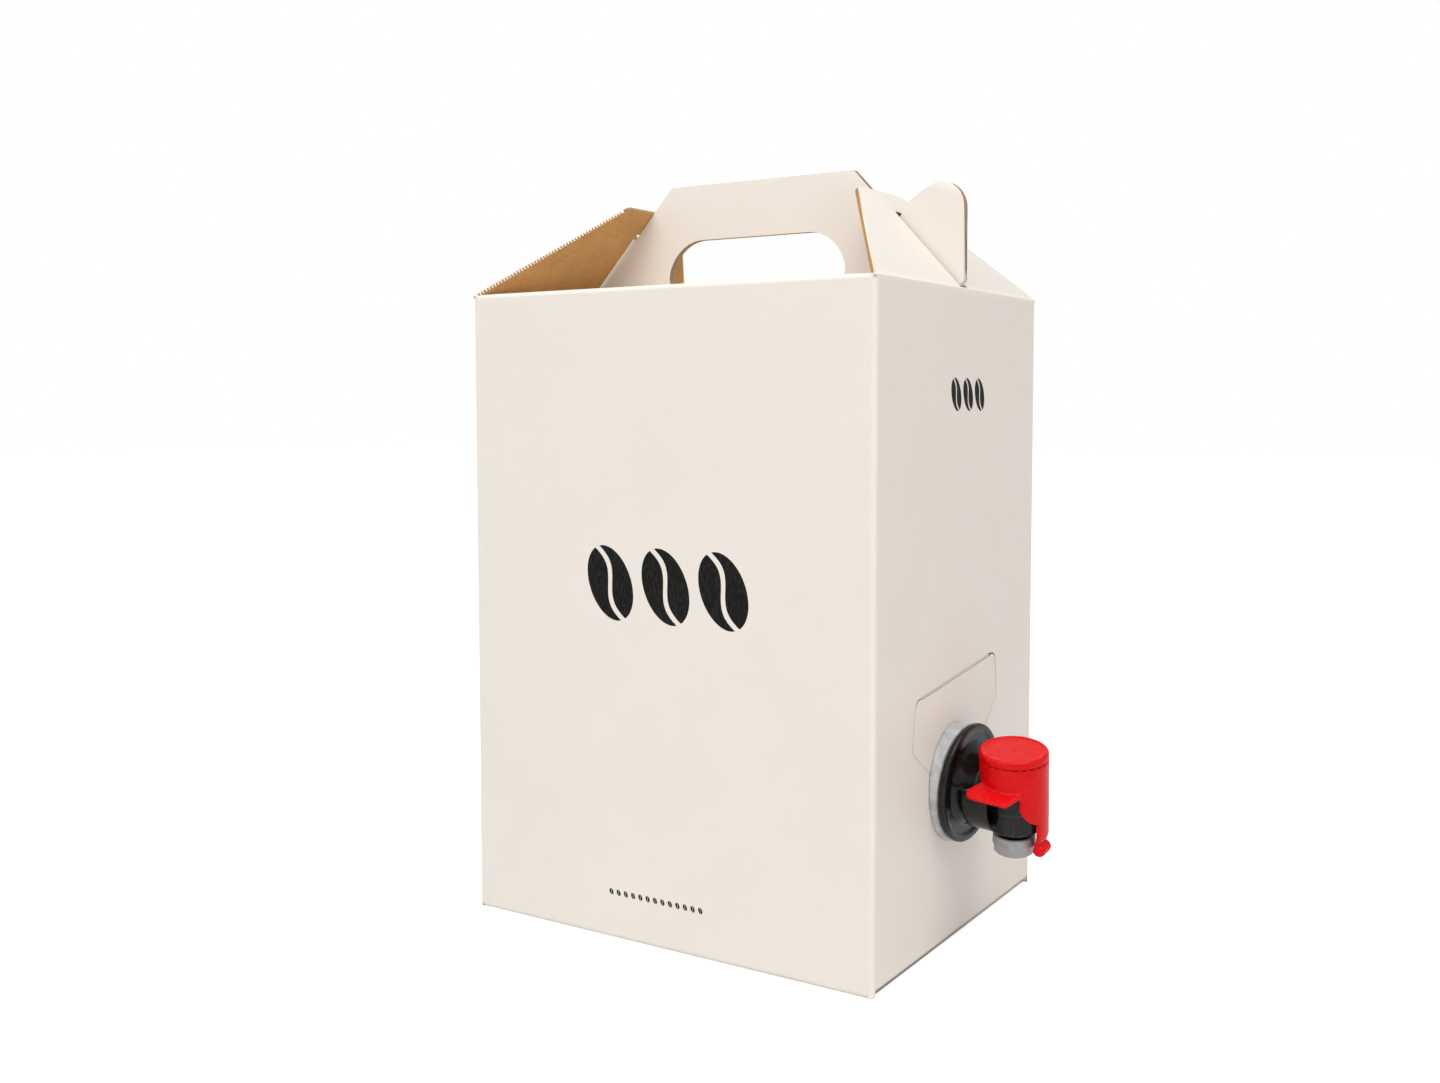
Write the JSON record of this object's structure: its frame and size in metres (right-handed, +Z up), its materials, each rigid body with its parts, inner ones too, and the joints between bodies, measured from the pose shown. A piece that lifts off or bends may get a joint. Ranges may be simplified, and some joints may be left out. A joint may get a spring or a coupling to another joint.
{
  "type": "coffee box",
  "caption": "Bag-in-box coffee carton with a folded carrying handle, two hooked side flaps, a filled inner bag and a press tap under a tear-off hood.",
  "frame": {"origin": "middle of the carton's underside, on the outer bottom flap", "axes": "+Z up, +X out of the narrow panel that carries the tap, +Y towards the back wide panel"},
  "size_m": [0.2185, 0.15, 0.2978],
  "materials": {
    "board": "matt coated corrugated board, cream outside and brown inside",
    "filled_bag": "metallised film full of coffee",
    "natural_plastic": "cloudy uncoloured polyethylene",
    "stem_plastic": "moulded, white",
    "black_plastic": "moulded, half gloss",
    "red_plastic": "moulded, half gloss",
    "soft_seal": "soft moulded elastomer"
  },
  "bodies": {
    "root": {"carton_body": "board", "bag": "filled_bag", "gland": "natural_plastic"},
    "flap_left": {"side_flap_left": "board"},
    "flap_right": {"side_flap_right": "board"},
    "tap": {"tap_body": "black_plastic", "tamper_hood": "red_plastic", "outlet_collar": "natural_plastic"},
    "valve": {"press_button": "soft_seal", "valve_stem": "stem_plastic", "valve_seal": "soft_seal"}
  },
  "joints": [
    {"name": "left_flap_fold", "type": "hinge", "parent": "root", "child": "flap_left", "pos_m": [-0.08925, 0, 0.24925], "axis": [0, -1, 0], "range_deg": [0, 135]},
    {"name": "right_flap_fold", "type": "hinge", "parent": "root", "child": "flap_right", "pos_m": [0.08925, 0, 0.24925], "axis": [0, 1, 0], "range_deg": [0, 135]},
    {"name": "tap_turn", "type": "hinge", "parent": "root", "child": "tap", "pos_m": [0.09, -0.0066, 0.0629], "axis": [0.9951, -0.0696, -0.0698], "continuous": true},
    {"name": "valve_press", "type": "slide", "parent": "tap", "child": "valve", "axis": [-0.056, 0.1832, -0.9815], "range_m": [0, 0.003], "stiffness_N_per_m": 2000}
  ]
}
